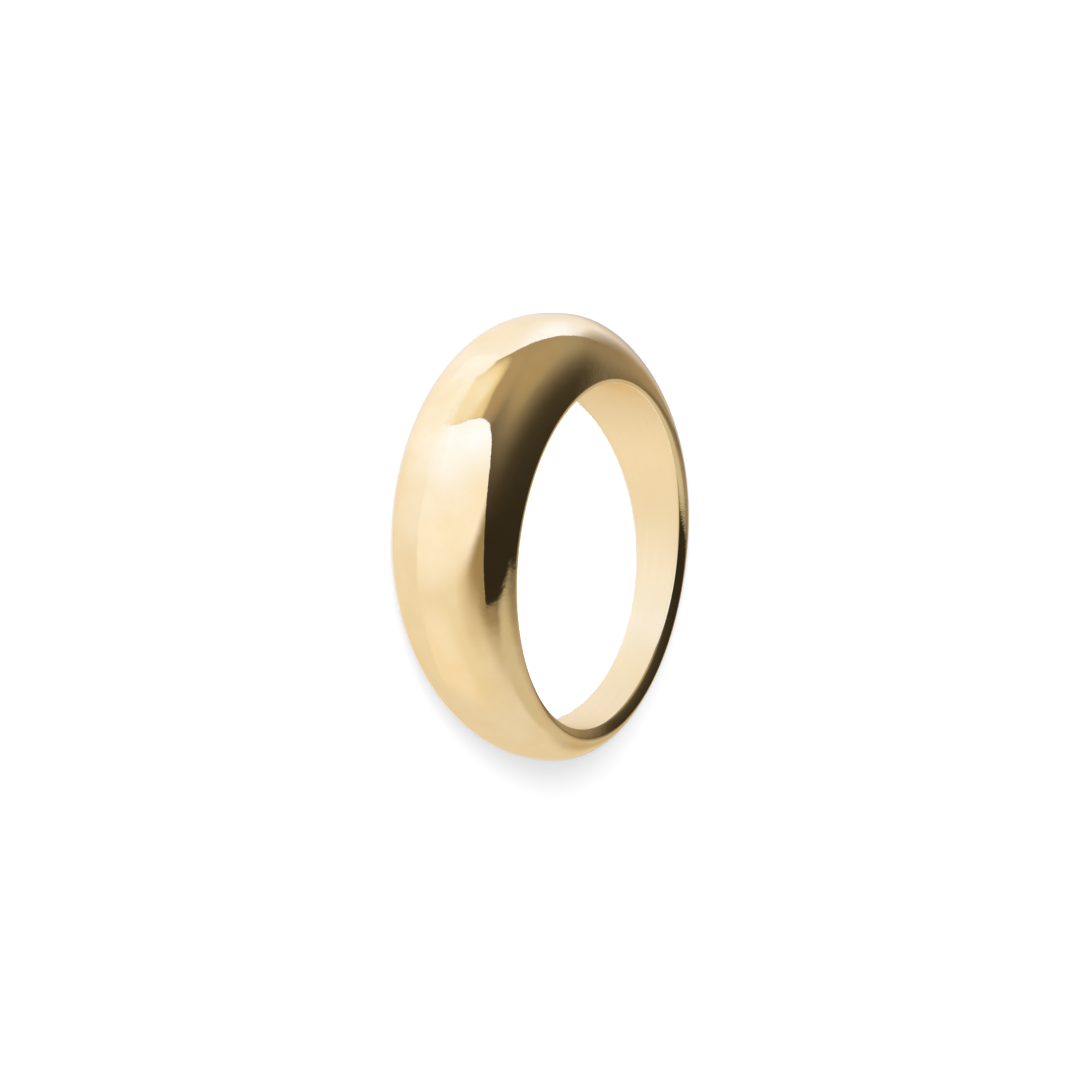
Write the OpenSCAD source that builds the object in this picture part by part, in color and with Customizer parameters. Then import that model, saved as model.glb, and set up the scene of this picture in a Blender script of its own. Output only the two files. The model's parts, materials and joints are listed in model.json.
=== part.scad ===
// Dome ring: one piece of polished metal, wide and thick at the dome and slim at the back of the finger.
// It lies on its side, on one of its two flat rims. Millimetres, +Z up, dome towards +X.
// The origin is where the middle of the finger hole meets the surface that the ring lies on.

/* [Finger hole] */
// Diameter of the finger hole
bore_d = 17.3; // [15:0.1:22]

/* [Dome] */
// Width of the band at the middle of the dome
dome_w = 6.3; // [4.5:0.05:9]
// Thickness of the metal at the middle of the dome
dome_t = 3.85; // [2.5:0.05:6]
// Flat left on the rim beside the dome
dome_rim = 0.2; // [0.1:0.05:0.4]

/* [Shank] */
// Width of the band at the back of the finger
shank_w = 2.5; // [1.5:0.1:4]
// Thickness of the metal at the back of the finger
shank_t = 1; // [0.9:0.05:2]
// Flat left on the rim at the back of the finger
shank_rim = 0.7; // [0.3:0.05:0.85]

/* [Crown] */
// Fullness of the crown at the sides: 2 is an ellipse, and more is squarer
fullness = 2.4; // [2:0.05:4]

/* [Hidden] */

// The band's sections, evenly spaced from the middle of the dome to the middle of the shank.
// thick is the share of the way from the shank's thickness to the dome's.
// rim is the share of the way from the flat beside the dome to the flat at the shank.
// full multiplies the fullness at the sides.
COLUMNS = ["thick", "rim", "full"];
SECTIONS = [
    [1.00, 0.00, 1.35], // middle of the dome
    [0.98, 0.00, 1.25], // 30 degrees
    [0.77, 0.00, 1.00], // 60 degrees
    [0.39, 0.10, 1.00], // side of the finger
    [0.24, 0.60, 1.00], // 120 degrees
    [0.06, 0.95, 1.20], // 150 degrees
    [0.00, 1.00, 1.25]  // middle of the shank
];

// Sections around the ring, and points across the crown of each one
around = 108;
across = 36;
bore_facets = 128;

bore_r = bore_d / 2;
side_w = (dome_w + shank_w) / 2;
// Both rims are planes. They lean away from each other towards the dome, each by this angle.
lean = atan((dome_w - shank_w) / (2 * bore_d));
bore_cut = 3 * dome_w;

// One column of the table, by its name
function column(name) = [for (row = SECTIONS) row[search([name], COLUMNS)[0]]];

// The cosine terms of the smooth closed curve that passes through a column's values
function cosine_terms(values) =
    let (last = len(values) - 1)
    [for (k = [0 : last])
        let (
            weights = [for (j = [0 : last]) (j == 0 || j == last ? 0.5 : 1) * cos(180 * j * k / last)],
            scale = (k == 0 || k == last ? 1 : 2) / last
        )
        scale * (weights * values)];

thick_terms = cosine_terms(column("thick"));
rim_terms = cosine_terms(column("rim"));
full_terms = cosine_terms(column("full"));

// The value of such a curve at an angle from the middle of the dome
function along(terms, angle) = terms * [for (k = [0 : len(terms) - 1]) cos(k * angle)];

function thickness(angle) = shank_t + (dome_t - shank_t) * along(thick_terms, angle);
function rim_flat(angle) = dome_rim + (shank_rim - dome_rim) * along(rim_terms, angle);
function power(angle) = fullness * along(full_terms, angle);

// Height of the upper rim over the ring's middle plane, and the lower rim's depth under it
function rim_height(x) = side_w / 2 + tan(lean) * x;

// How far a superellipse with half-axes of 1 reaches in the direction swing
function reach(swing, power) = pow(pow(abs(cos(swing)), power) + pow(abs(sin(swing)), power), -1 / power);

// A point of the crown. The crown is a superellipse from the outer edge of one rim flat to the other,
// and swing runs from -90 at the lower rim over 0 at the crest to 90 at the upper rim.
function crown_point(angle, swing) =
    let (
        flat_r = bore_r + rim_flat(angle),
        rise = thickness(angle) - rim_flat(angle),
        far = reach(swing, power(angle)),
        r = flat_r + rise * far * cos(swing),
        z = rim_height(flat_r * cos(angle)) * far * sin(swing)
    )
    [r * cos(angle), r * sin(angle), z];

// The band before its finger hole is drilled: the crown, closed by the planes of the two rims
module blank() {
    points = [for (i = [0 : around - 1], j = [0 : across])
        crown_point(360 * i / around, 180 * j / across - 90)];
    function index(i, j) = (i % around) * (across + 1) + j;
    // Each small four-sided patch of the crown is two triangles.
    first_halves = [for (i = [0 : around - 1], j = [0 : across - 1])
        [index(i, j), index(i, j + 1), index(i + 1, j)]];
    second_halves = [for (i = [0 : around - 1], j = [0 : across - 1])
        [index(i, j + 1), index(i + 1, j + 1), index(i + 1, j)]];
    lower_rim = [for (i = [0 : around - 1]) index(i, 0)];
    upper_rim = [for (i = [around - 1 : -1 : 0]) index(i, across)];
    polyhedron(points, concat(first_halves, second_halves, [lower_rim, upper_rim]));
}

module ring() {
    color([0.93, 0.81, 0.58])
        rotate([0, -lean, 0])
            translate([0, 0, side_w / 2])
                difference() {
                    blank();
                    cylinder(h = bore_cut, d = bore_d, center = true, $fn = bore_facets);
                }
}

ring();
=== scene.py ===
"""Dome ring, lying on its side: a polished pale gold band, wide and thick at the dome, slim at the back."""

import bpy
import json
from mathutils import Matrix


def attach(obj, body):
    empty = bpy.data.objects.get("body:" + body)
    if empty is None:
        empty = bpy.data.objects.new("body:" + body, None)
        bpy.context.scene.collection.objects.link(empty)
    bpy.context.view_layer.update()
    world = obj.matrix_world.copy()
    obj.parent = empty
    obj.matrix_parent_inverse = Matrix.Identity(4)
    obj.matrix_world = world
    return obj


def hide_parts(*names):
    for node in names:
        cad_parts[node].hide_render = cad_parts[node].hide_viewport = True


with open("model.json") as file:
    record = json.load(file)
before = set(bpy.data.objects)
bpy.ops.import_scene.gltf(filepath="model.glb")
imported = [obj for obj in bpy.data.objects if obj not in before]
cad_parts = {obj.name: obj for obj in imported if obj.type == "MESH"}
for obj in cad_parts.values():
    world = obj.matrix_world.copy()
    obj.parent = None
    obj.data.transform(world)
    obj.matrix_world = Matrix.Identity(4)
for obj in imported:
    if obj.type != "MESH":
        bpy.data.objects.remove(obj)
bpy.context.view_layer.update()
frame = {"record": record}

import json
import math

import bpy
import numpy as np
from mathutils import Matrix, Vector

# Sizes of the ring, in metres. The finger hole comes from the frame, and the rest are the ring's own sizes.
MM = 0.001
MOUNTS = {mount["name"]: mount for mount in frame["record"]["mounts"]}
HOLE = MOUNTS["finger_hole"]
BORE_R = HOLE["dims"]["r_mm"] * MM
DOME_W = HOLE["dims"]["length_mm"] * MM
DOME_T = 3.85 * MM
DOME_RIM = 0.2 * MM
SHANK_W = 2.5 * MM
SHANK_T = 1.0 * MM
SHANK_RIM = 0.7 * MM
FULLNESS = 2.4

# The sections from the middle of the dome to the middle of the shank, evenly spaced.
# thick: share of the way from the shank's thickness to the dome's
# rim: share of the way from the rim's width beside the dome to its width at the shank
# full: multiplies the crown's fullness at the sides
COLUMNS = ("thick", "rim", "full")
SECTIONS = np.array([
    (1.00, 0.00, 1.35),
    (0.98, 0.00, 1.25),
    (0.77, 0.00, 1.00),
    (0.39, 0.10, 1.00),
    (0.24, 0.60, 1.00),
    (0.06, 0.95, 1.20),
    (0.00, 1.00, 1.25),
])

# The rims are rubbed down: each dips towards the finger hole, steeper at the hole than at its outer corner.
DIP_AT_HOLE = math.radians(17)
DIP_OUTSIDE = math.radians(7)
# How far the eased edges of the finger hole reach along its wall and across the rim
EASE_DOME = 0.06 * MM
EASE_SHANK = 0.08 * MM
# The eased edges are flatter towards the rim than towards the hole's wall, by this ratio.
EASE_SPREAD = 1.6
# How far from the finger hole's wall the eased edges have a gold of their own, made paler as a painted
# highlight
EASED_HIGHLIGHT_REACH = 0.9 * EASE_DOME

# Hand polishing leaves the crown a few thousandths of a millimetre uneven. The waves that it leaves run up
# to so many times round the ring, and turn by up to so much on the way across the crown.
POLISH_DEPTH = 0.004 * MM
POLISH_WAVES = 24
MOST_ROUND = 12
MOST_ACROSS = 3.5
POLISH_SEED = 7

# Polishing marks are laid out on a drum with a radius of 1, this tall for a ring as wide as SIDE_W.
DRUM_HEIGHT = 60

# How finely the ring's surface is worked out
AROUND = 640
ACROSS_CROWN = 96
ACROSS_BORE = 14
ACROSS_EASE = 6
ACROSS_RIM = 7

LEAN = math.atan2(DOME_W - SHANK_W, 4 * BORE_R)
SIDE_W = (DOME_W + SHANK_W) / 2


def smooth_column(name, angle):
    """A column of SECTIONS as a smooth closed curve: the sum of cosines of whole multiples of the angle
    that passes through every row, so it is the same on both sides of the dome."""
    values = SECTIONS[:, COLUMNS.index(name)]
    last = len(values) - 1
    rows = np.arange(last + 1)
    ends = np.isin(rows, (0, last))
    weights = np.where(ends, 0.5, 1.0)
    curve = np.zeros_like(angle)
    for k in rows:
        term = (weights * np.cos(np.pi * rows * k / last)) @ values * (2 - ends[k]) / last
        curve += term * np.cos(k * angle)
    return curve


def between(start, end, share):
    """The value that lies that share of the way from start to end."""
    return start + (end - start) * share


def rim_plane(radius, angle):
    """Height of a rim's plane over the ring's middle plane: it rises towards the dome by the lean."""
    return SIDE_W / 2 + math.tan(LEAN) * radius * np.cos(angle)


def rim_face(ease, rim_width, angle):
    """The rubbed-down rim from the eased edge of the finger hole to its outer corner, as radius and height.
    Its slope under the rim's plane falls evenly outwards, so its depth is a parabola, 0 at the corner."""
    share = np.linspace(0, 1, ACROSS_RIM, endpoint=False)
    radius = between(BORE_R + ease, BORE_R + rim_width, share)
    steep, gentle = math.tan(DIP_AT_HOLE), math.tan(DIP_OUTSIDE)
    depth = (rim_width - ease) * (steep * (1 - share) + (gentle - steep) * (1 - share ** 2) / 2)
    return radius, rim_plane(radius, angle) - depth


def eased_edge(ease, rim_start):
    """The rounded edge from the finger hole's wall to the rim, as radius and height: part of an ellipse that
    starts along the wall and ends in the rim's slope, where the rim starts at the height rim_start."""
    full_turn = math.atan(1 / (EASE_SPREAD * math.tan(DIP_AT_HOLE)))
    turn = np.linspace(0, full_turn, ACROSS_EASE, endpoint=False)
    radius = BORE_R + ease * (1 - np.cos(turn)) / (1 - math.cos(full_turn))
    return radius, rim_start - ease + ease * np.sin(turn) / math.sin(full_turn)


def crown(rim_width, angle):
    """The crown's radius and height: a superellipse from rim corner to rim corner. Its reach in the
    direction swing is (cos^n + sin^n) to the power -1/n, with n the fullness at that angle."""
    swing = np.linspace(np.pi / 2, -np.pi / 2, ACROSS_CROWN + 1)
    rim_r = BORE_R + rim_width
    rise = BORE_R + between(SHANK_T, DOME_T, smooth_column("thick", angle)) - rim_r
    power = FULLNESS * smooth_column("full", angle)
    reach = (np.abs(np.cos(swing)) ** power + np.abs(np.sin(swing)) ** power) ** (-1 / power)
    radius = rim_r + rise * reach * np.cos(swing) + hand_polish(angle, swing) * np.cos(swing)
    return radius, rim_plane(rim_r, angle) * reach * np.sin(swing)


def hand_polish(angle, swing):
    """The crown's small unevenness: a sum of waves that run round the ring and across it, with whole
    numbers of waves round the ring. Their heights fall as they get shorter, four times as fast across."""
    random = np.random.default_rng(POLISH_SEED)
    height = np.zeros(np.broadcast(angle, swing).shape)
    for _ in range(POLISH_WAVES):
        round_ring = random.integers(-MOST_ROUND, MOST_ROUND + 1)
        across = random.uniform(-MOST_ACROSS, MOST_ACROSS)
        start = random.uniform(0, 2 * np.pi)
        size = random.normal() / (1 + abs(round_ring) / 4 + abs(across))
        height += size * np.cos(round_ring * angle + across * swing + start)
    return POLISH_DEPTH * height


def ring_outline(angle):
    """Radius and height of the closed outline of every section: up the bore, over the eased edge and the
    rim, down the crown, and back over the lower rim and edge. The lower half mirrors the upper."""
    angle = angle[:, None]
    rim_share = smooth_column("rim", angle)
    ease = between(EASE_DOME, EASE_SHANK, rim_share)
    rim_width = between(DOME_RIM, SHANK_RIM, rim_share)
    rim_r, rim_z = rim_face(ease, rim_width, angle)
    ease_r, ease_z = eased_edge(ease, rim_z[:, :1])
    crown_r, crown_z = crown(rim_width, angle)
    up = np.linspace(-1, 1, ACROSS_BORE, endpoint=False)
    bore_z = ease_z[:, :1] * up
    bore_r = np.full_like(bore_z, BORE_R)
    upper_r, upper_z = np.hstack([ease_r, rim_r]), np.hstack([ease_z, rim_z])
    radius = np.hstack([bore_r, upper_r, crown_r, upper_r[:, :0:-1]])
    height = np.hstack([bore_z, upper_z, crown_z, -upper_z[:, :0:-1]])
    return radius, height


def lay_down(radius, angle, height):
    """Turns radius, angle and height round the finger hole into places in the frame, with the lower rim
    on the surface at z = 0: lifted by half the side width, then tipped towards the shank by the lean."""
    x = radius * np.cos(angle)
    y = radius * np.sin(angle)
    z = height + SIDE_W / 2
    tipped_x = x * math.cos(LEAN) - z * math.sin(LEAN)
    tipped_z = x * math.sin(LEAN) + z * math.cos(LEAN)
    return np.stack([tipped_x, y, tipped_z], -1)


def closed_mesh(name, places):
    """A mesh from a grid of places that closes on itself in both directions, with smooth faces."""
    rows, columns = places.shape[:2]
    corner = np.arange(rows * columns).reshape(rows, columns)
    next_row = np.roll(corner, -1, 0)
    faces = np.stack([corner, np.roll(corner, -1, 1), np.roll(next_row, -1, 1), next_row], -1).reshape(-1, 4)
    mesh = bpy.data.meshes.new(name)
    mesh.vertices.add(rows * columns)
    mesh.vertices.foreach_set("co", places.astype(np.float32).ravel())
    mesh.loops.add(faces.size)
    mesh.loops.foreach_set("vertex_index", faces.ravel().astype(np.int32))
    mesh.polygons.add(len(faces))
    mesh.polygons.foreach_set("loop_start", np.arange(0, faces.size, 4, dtype=np.int32))
    mesh.polygons.foreach_set("use_smooth", np.ones(len(faces), bool))
    mesh.update(calc_edges=True)
    mesh.validate()
    piece = bpy.data.objects.new(name, mesh)
    bpy.context.scene.collection.objects.link(piece)
    return piece


def make_ring():
    """The whole ring as one closed surface, worked out from its angle round the finger hole and its outline.
    Its attributes tell the finish where it is: inside is 1 on the finger hole's wall, eased is 1 on the
    hole's eased edges, which carry a painted highlight, and rubbed is a place on a drum that is much taller
    than the ring, so that marks on it run round the ring."""
    angle = np.linspace(0, 2 * np.pi, AROUND, endpoint=False)
    radius, height = ring_outline(angle)
    piece = closed_mesh("polished_ring", lay_down(radius, angle[:, None], height))
    inside = (radius <= BORE_R).astype(float)
    eased = (radius < BORE_R + EASED_HIGHLIGHT_REACH).astype(float) - inside
    across = DRUM_HEIGHT * (height + radius) / SIDE_W
    turn = np.broadcast_to(angle[:, None], radius.shape)
    drum = np.stack([np.cos(turn), np.sin(turn), across], -1)
    piece.data.attributes.new("inside", "FLOAT", "POINT").data.foreach_set("value", inside.ravel())
    piece.data.attributes.new("eased", "FLOAT", "POINT").data.foreach_set("value", eased.ravel())
    piece.data.attributes.new("rubbed", "FLOAT_VECTOR", "POINT").data.foreach_set("vector", drum.ravel())
    return piece


class Nodes:
    """A short way to add shader nodes to a tree: inputs are given by name, as values or as other outputs."""

    def __init__(self, tree):
        self.tree = tree
        tree.nodes.clear()

    def add(self, kind, settings=None, **inputs):
        """Adds a node, sets its properties, and joins or sets its inputs. An input goes by its name, with
        underscores for spaces, or by i and its number."""
        node = self.tree.nodes.new(kind)
        for key, value in (settings or {}).items():
            setattr(node, key, value)
        for key, value in inputs.items():
            socket = node.inputs[int(key[1:])] if key[1:].isdigit() else node.inputs[key.replace("_", " ")]
            if isinstance(value, bpy.types.NodeSocket):
                self.tree.links.new(value, socket)
            else:
                socket.default_value = value
        return node

    def math(self, operation, first, second):
        """One step of arithmetic."""
        return self.add("ShaderNodeMath", {"operation": operation}, i0=first, i1=second).outputs[0]

    def ramp(self, value, low, high, start=0.0, end=1.0, shape="LINEAR"):
        """Takes a value that runs from low to high to one that runs from start to end."""
        return self.add("ShaderNodeMapRange", {"interpolation_type": shape}, Value=value, From_Min=low,
                        From_Max=high, To_Min=start, To_Max=end).outputs[0]

    def noise(self, place, scale, detail):
        """Cloudy noise of that scale, from 0 to 1."""
        return self.add("ShaderNodeTexNoise", Vector=place, Scale=scale, Detail=detail).outputs["Fac"]

    def attribute(self, name):
        """The node that reads one of the mesh's attributes."""
        return self.add("ShaderNodeAttribute", {"attribute_name": name})

    def mix(self, share, first, second):
        """Mixes two colours by a share."""
        return self.add("ShaderNodeMix", {"data_type": "RGBA"}, i0=share, i6=first, i7=second).outputs[2]


# The golds of the crown and rims, and of the finger hole's wall, each from its warmer to its paler cloud,
# and the paler gold of the eased edges, a painted highlight that lightens them into a bright line
CROWN_GOLDS = ((0.935, 0.735, 0.445, 1), (0.975, 0.81, 0.565, 1))
# The finger hole's golds are paler than the crown's, partly the plating's own tone and partly painted light
# that brightens the wall inside the hole.
HOLE_GOLDS_AND_PAINTED_LIGHT = ((0.968, 0.788, 0.525, 1), (0.99, 0.842, 0.60, 1))
EASED_PAINTED_HIGHLIGHT = (1.0, 0.89, 0.66, 1)
# What they turn to at a glancing view, outside the hole and inside it
CROWN_GLANCE = (0.985, 0.90, 0.74, 1)
HOLE_GLANCE = (0.90, 0.75, 0.50, 1)
# Roughness from the smoother to the duller patches
CROWN_ROUGH = (0.02, 0.06)
HOLE_ROUGH = (0.37, 0.45)
# Nearly all of a noise's values are between these.
NOISE_SPAN = (0.3, 0.7)


def gold():
    """Pale gold plating, polished by hand: a mirror with a cloudy tone, faint dull patches and fine marks,
    and a softer finish inside the finger hole, where the marks of the polishing stick run round it. The
    hole's gold is paler, partly as painted light that brightens its wall, and the eased edges carry a
    painted highlight."""
    material = bpy.data.materials.new("polished_pale_gold")
    material.use_nodes = True
    nodes = Nodes(material.node_tree)
    place = nodes.add("ShaderNodeTexCoord").outputs["Object"]
    inside = nodes.attribute("inside").outputs["Fac"]
    eased = nodes.attribute("eased").outputs["Fac"]
    rubbed = nodes.attribute("rubbed").outputs["Vector"]
    # Clouds of tone and dull patches a millimetre or two wide, and marks that run round the ring
    cloud = nodes.noise(place, 420.0, 3.0)
    dull = nodes.noise(place, 900.0, 4.0)
    marks = nodes.noise(rubbed, 3.0, 3.0)

    outer_tint = nodes.mix(nodes.ramp(cloud, *NOISE_SPAN), *CROWN_GOLDS)
    # The hole's tone follows the polishing marks, and its paler gold is partly painted light.
    inner_tint_and_light = nodes.mix(nodes.ramp(marks, *NOISE_SPAN), *HOLE_GOLDS_AND_PAINTED_LIGHT)
    # The eased edges take the paler gold, a painted highlight.
    tint = nodes.mix(eased, nodes.mix(inside, outer_tint, inner_tint_and_light), EASED_PAINTED_HIGHLIGHT)
    edge_tint = nodes.mix(inside, CROWN_GLANCE, HOLE_GLANCE)

    outer_rough = nodes.ramp(dull, *NOISE_SPAN, *CROWN_ROUGH)
    inner_rough = nodes.ramp(cloud, *NOISE_SPAN, *HOLE_ROUGH)
    rough = nodes.add("ShaderNodeMix", {"data_type": "FLOAT"}, i0=inside, i2=outer_rough,
                      i3=inner_rough).outputs[0]

    # The relief, in micrometres before the bump's strength: long waves, fine grain, the marks, and specks
    # that are only in some patches
    patches = nodes.ramp(nodes.noise(place, 260.0, 2.0), 0.5, 0.65)
    specks = nodes.math("MULTIPLY", nodes.noise(place, 13000.0, 1.0), nodes.math("MULTIPLY", patches, 7.0))
    grain = nodes.math("MULTIPLY", nodes.noise(place, 5200.0, 2.0), 3.0)
    uneven = nodes.math("MULTIPLY", nodes.noise(place, 600.0, 2.0), 30.0)
    fine = nodes.math("ADD", grain, marks)
    relief = nodes.math("ADD", nodes.math("ADD", fine, uneven), specks)
    bump = nodes.add("ShaderNodeBump", Strength=0.3, Distance=0.001 * MM, Height=relief)
    shader = nodes.add("ShaderNodeBsdfPrincipled", Base_Color=tint, Metallic=1.0, Roughness=rough,
                       Normal=bump.outputs[0], Specular_Tint=edge_tint)
    nodes.add("ShaderNodeOutputMaterial", Surface=shader.outputs[0])
    return material


# The camera looks along the photograph's line of sight, and is rolled so that the picture stands as it does.
VIEW_AZIMUTH = 32.64
VIEW_ELEVATION = 38.38
VIEW_ROLL = 89.18
VIEW_DISTANCE = 25 * BORE_R
PICTURE = 1080
FOCAL_PIXELS = 4311.7
# Where the middle of the ring appears in the picture
RING_X, RING_Y = 565.55, 554.3
# The film's width in millimetres, and how near and how far the camera sees, in metres
FILM = 36
NEAREST, FARTHEST = 0.01, 20


def direction(azimuth, elevation):
    """A unit vector from compass angles in degrees: azimuth from +X towards +Y, elevation from the floor."""
    a, e = math.radians(azimuth), math.radians(elevation)
    return Vector((math.cos(e) * math.cos(a), math.cos(e) * math.sin(a), math.sin(e)))


def picture_turn():
    """The turn of the picture in the frame. Its columns are the picture's right and up, and the way out
    of the picture to the viewer."""
    back = direction(VIEW_AZIMUTH, VIEW_ELEVATION)
    return back.to_track_quat("Z", "Y").to_matrix() @ Matrix.Rotation(math.radians(VIEW_ROLL), 3, "Z")


def make_camera():
    """The camera: a long lens, turned aside a little so that the ring's middle falls where it should."""
    data = bpy.data.cameras.new("camera")
    data.sensor_width = FILM
    data.lens = FOCAL_PIXELS * FILM / PICTURE
    data.clip_start, data.clip_end = NEAREST, FARTHEST
    camera = bpy.data.objects.new("camera", data)
    bpy.context.scene.collection.objects.link(camera)
    bpy.context.scene.camera = camera
    middle = Vector((-math.sin(LEAN), 0, math.cos(LEAN))) * (SIDE_W / 2)
    turn = picture_turn()
    aside_x = (RING_X - PICTURE / 2) / FOCAL_PIXELS
    aside_y = (PICTURE / 2 - RING_Y) / FOCAL_PIXELS
    look = turn @ Vector((-aside_x, -aside_y, -1))
    swing = (turn @ Vector((0, 0, -1))).rotation_difference(look)
    camera.rotation_mode = "QUATERNION"
    camera.rotation_quaternion = swing @ turn.to_quaternion()
    camera.location = middle + direction(VIEW_AZIMUTH, VIEW_ELEVATION) * VIEW_DISTANCE


# The studio round the ring, which the metal mirrors, is laid out in the picture's own directions:
# degrees round to the picture's right from the way to the viewer, and degrees up.
# A round edge is (degrees round, degrees up, half angle, softness), and with OUTSIDE at its end it holds
# what is outside it.
OUTSIDE = "outside"
SOFTBOX_SIDE = (144, 30.5, 90, 0.5)
BESIDE_SOFTBOX = (144, 30, 100, 12)
TABLE_SIDE = (4, 68, 103, 0.5)
WALL_SIDE = (-124, 5, 53.9, 0.6)
WALL_RIM = (-124, 5, 53.2, 0.4, OUTSIDE)
BACKDROP_SIDE = (178, 29, 44.5, 0.6)
BACKDROP_FADE = (118, -2, 32, 13, OUTSIDE)
PALE_TABLE = (0.88, 0.82, 0.66)
# Each panel is its colour and the edges that bound it. Later panels lie over earlier ones.
PANELS = [
    # the table's near end, and its far side
    ((0.96, 0.90, 0.78), [(-90, -56, 24, 18)]),
    ((0.81, 0.77, 0.67), [(128, -32, 44, 26)]),
    ((0.57, 0.49, 0.37), [(141, -19, 16, 10)]),
    # shades on the table: right of the viewer, along its far edge and under the softbox, and a small paler
    # patch behind them
    ((0.70, 0.61, 0.44), [(30, -16, 28, 20)]),
    ((0.66, 0.58, 0.43), [(4, 68, 116, 14), BESIDE_SOFTBOX]),
    ((0.20, 0.17, 0.12), [(4, 68, 107, 4), BESIDE_SOFTBOX]),
    ((0.36, 0.28, 0.15), [(54, -8, 26, 24), (0, 90, 122, 14)]),
    ((0.66, 0.61, 0.46), [(106, -20, 8, 7)]),
    # the big softbox beside the viewer, which fades to its foot and is brighter at its top
    ((1.03, 1.04, 1.06), [(0, 90, 108, 18), (-42, 62, 88.5, 8), SOFTBOX_SIDE + (OUTSIDE,)]),
    ((1.04, 1.22, 1.62), [(0, 90, 60, 26), SOFTBOX_SIDE + (OUTSIDE,)]),
    # the dark room behind, a dark foot where it meets the table, and haze above
    ((0.03, 0.025, 0.016), [SOFTBOX_SIDE, TABLE_SIDE]),
    ((0.03, 0.025, 0.016), [(112, -2, 5.3, 0.5)]),
    ((0.11, 0.09, 0.06), [SOFTBOX_SIDE, TABLE_SIDE, (0, 90, 84, 14)]),
    # the room's ceiling, with a glow, bright patches over the softbox, and a dim wall by the backdrop
    ((0.38, 0.325, 0.215), [SOFTBOX_SIDE, TABLE_SIDE, (125, 55, 50, 26), (0, 90, 74, 14)]),
    ((0.44, 0.36, 0.22), [SOFTBOX_SIDE, (88, 48, 16, 14)]),
    ((0.44, 0.35, 0.21), [SOFTBOX_SIDE, (-40, 80, 26, 14)]),
    ((0.93, 0.84, 0.56), [SOFTBOX_SIDE, (-95, 67, 13, 7)]),
    ((0.86, 0.76, 0.50), [SOFTBOX_SIDE, (-65, 58, 13, 6)]),
    ((0.94, 0.85, 0.60), [SOFTBOX_SIDE, (-86, 48, 7, 4)]),
    ((0.99, 0.98, 0.90), [SOFTBOX_SIDE, (-96, 60, 10, 8)]),
    ((0.30, 0.25, 0.17), [SOFTBOX_SIDE, TABLE_SIDE, (152, 12, 30, 5)]),
    ((0.38, 0.31, 0.22), [SOFTBOX_SIDE, TABLE_SIDE, (141, 3, 11, 4)]),
    # the pale wall on the left, brighter above, with a bright rim there, and its shaded foot behind
    ((0.89, 0.84, 0.73), [WALL_SIDE]),
    ((1.04, 1.11, 1.24), [WALL_SIDE, (0, 90, 76, 40)]),
    ((1.08, 1.17, 1.36), [WALL_SIDE, WALL_RIM, (0, 90, 48, 14)]),
    ((0.83, 0.79, 0.71), [(178, -42, 30, 18)]),
    # the backdrop, which fades towards the dark room, dimmer below, brighter above, and warmer by the
    # wall, and the corner between them
    ((0.95, 1.01, 1.24), [BACKDROP_SIDE, BACKDROP_FADE]),
    ((0.55, 0.53, 0.58), [BACKDROP_SIDE, BACKDROP_FADE, (162, 0, 18, 12)]),
    ((1.03, 1.22, 1.66), [BACKDROP_SIDE, (0, 90, 46, 16)]),
    ((1.01, 1.07, 1.23), [BACKDROP_SIDE, (-135, 45, 28, 14)]),
    ((1.04, 1.15, 1.38), [(-133, 57, 6.5, 1.5)]),
]


def studio():
    """The surroundings as a world of round-edged panels. How far a direction is inside an edge comes from
    its dot product with the edge's middle, smoothed over the edge's softness."""
    world = bpy.data.worlds.new("studio")
    bpy.context.scene.world = world
    world.use_nodes = True
    nodes = Nodes(world.node_tree)
    toward = nodes.add("ShaderNodeTexCoord").outputs["Generated"]
    turn = picture_turn()

    def held(around, above, half_angle, soft, side=None):
        """How much of a direction the edge holds, from 0 to 1."""
        a, e = math.radians(around), math.radians(above)
        middle = turn @ Vector((math.cos(e) * math.sin(a), math.sin(e), math.cos(e) * math.cos(a)))
        dot = nodes.add("ShaderNodeVectorMath", {"operation": "DOT_PRODUCT"}, i0=toward, i1=middle)
        full = math.cos(math.radians(half_angle - soft))
        none = math.cos(math.radians(half_angle + soft))
        ends = (1.0, 0.0) if side == OUTSIDE else (0.0, 1.0)
        return nodes.ramp(dot.outputs["Value"], none, full, *ends, shape="SMOOTHSTEP")

    colour = (*PALE_TABLE, 1)
    for panel_colour, edges in PANELS:
        share = held(*edges[0])
        for edge in edges[1:]:
            share = nodes.math("MULTIPLY", share, held(*edge))
        colour = nodes.mix(share, colour, (*panel_colour, 1))
    background = nodes.add("ShaderNodeBackground", Color=colour, Strength=1.0)
    nodes.add("ShaderNodeOutputWorld", Surface=background.outputs[0])
    world.cycles_visibility.diffuse = False


# Half the floor's width in metres, and its colour
FLOOR_HALF = 1.0
FLOOR_COLOUR = (0.88, 0.88, 0.88, 1)


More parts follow.
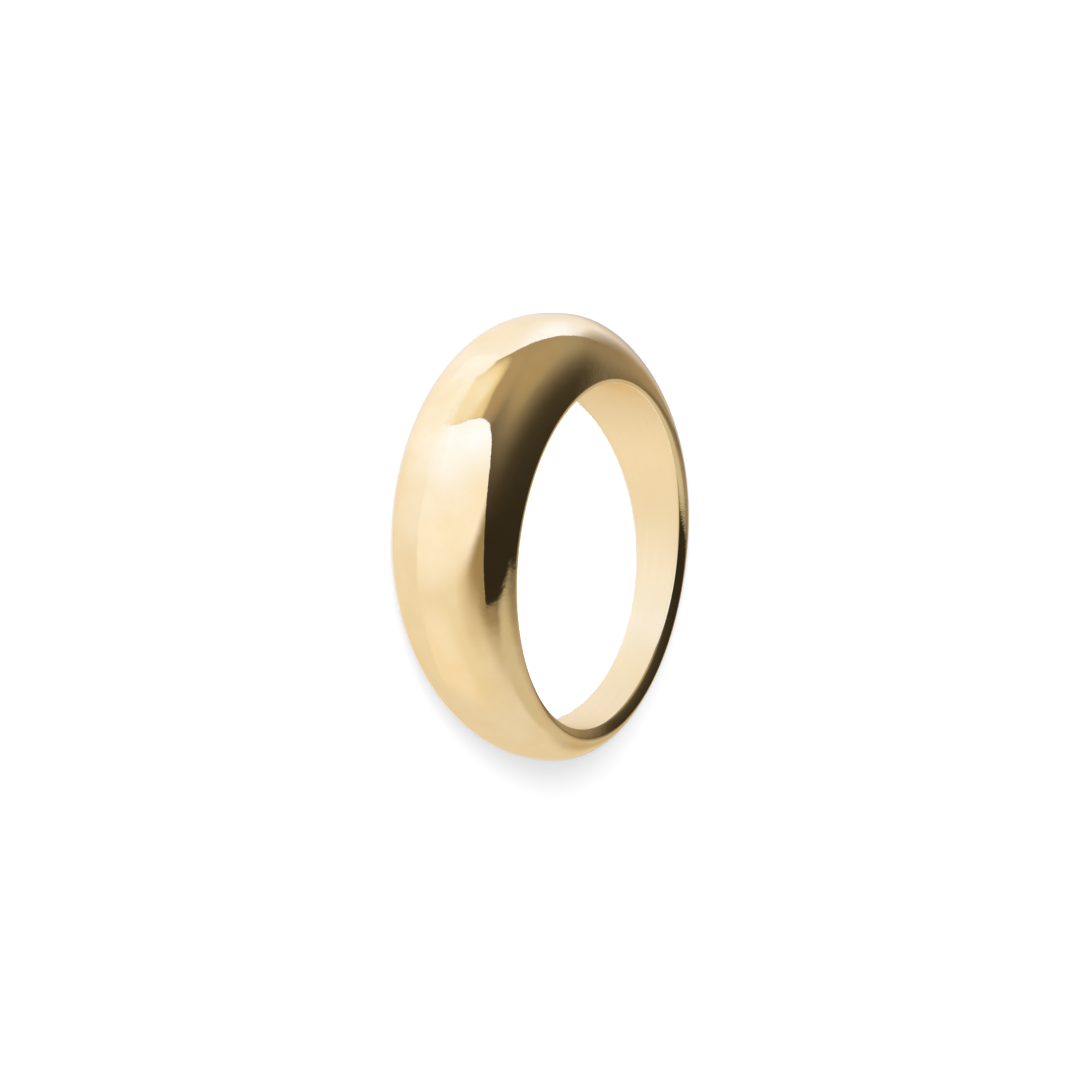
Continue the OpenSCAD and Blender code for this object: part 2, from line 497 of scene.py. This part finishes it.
def make_floor():
    """A plain pale floor, which the ring lies on. The metal mirrors the studio and not the floor."""
    sides = ((-1, -1), (1, -1), (1, 1), (-1, 1))
    corners = [(x * FLOOR_HALF, y * FLOOR_HALF, 0) for x, y in sides]
    mesh = bpy.data.meshes.new("floor")
    mesh.from_pydata(corners, [], [(0, 1, 2, 3)])
    floor = bpy.data.objects.new("floor", mesh)
    bpy.context.scene.collection.objects.link(floor)
    material = bpy.data.materials.new("pale_floor")
    material.use_nodes = True
    nodes = Nodes(material.node_tree)
    shader = nodes.add("ShaderNodeBsdfPrincipled", Base_Color=FLOOR_COLOUR, Roughness=0.8,
                       Specular_IOR_Level=0.0)
    nodes.add("ShaderNodeOutputMaterial", Surface=shader.outputs[0])
    mesh.materials.append(material)
    floor.visible_glossy = False


# The broad lights: name, azimuth and elevation of the way to the light, strength, and width in degrees
SUNS = (
    ("front", VIEW_AZIMUTH, VIEW_ELEVATION, 2.6, 10),
    ("side", 0, 35, 2.6, 42),
    ("above", 0, 90, 1.0, 150),
)
# The narrow light: strength, distance along the finger hole's axis, half the beam's width at the ring,
# the share of the beam that fades, and the lamp's own radius
SPOT_STRENGTH = 8.0
SPOT_AWAY = 0.5
SPOT_HALF = 1.07 * BORE_R
SPOT_FADE = 0.1
SPOT_R = 0.5 * MM


def shine(name, kind, place, strength):
    """A lamp that shines from place at the ring. It lights the floor, and the metal doesn't mirror it."""
    light = bpy.data.lights.new(name, kind)
    light.energy = strength
    lamp = bpy.data.objects.new(name, light)
    bpy.context.scene.collection.objects.link(lamp)
    lamp.location = place
    lamp.rotation_mode = "QUATERNION"
    lamp.rotation_quaternion = place.to_track_quat("Z", "Y")
    lamp.visible_glossy = False
    return light


def make_lights():
    """Broad soft lights from the viewer, the side and above, and a narrow one down the finger hole."""
    for name, azimuth, elevation, strength, width in SUNS:
        shine(name, "SUN", direction(azimuth, elevation), strength).angle = math.radians(width)
    spot = shine("hole", "SPOT", Vector(HOLE["axis"]) * SPOT_AWAY, SPOT_STRENGTH)
    spot.spot_size = 2 * math.atan(SPOT_HALF / SPOT_AWAY)
    spot.spot_blend = SPOT_FADE
    spot.shadow_soft_size = SPOT_R


scene = bpy.context.scene
scene.view_settings.view_transform = "Standard"
scene.view_settings.look = "None"
make_camera()
studio()
make_floor()
make_lights()

ring = make_ring()
ring.data.materials.append(gold())
# The metal throws no glints on the floor.
ring.visible_diffuse = False
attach(ring, "root")
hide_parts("ring")
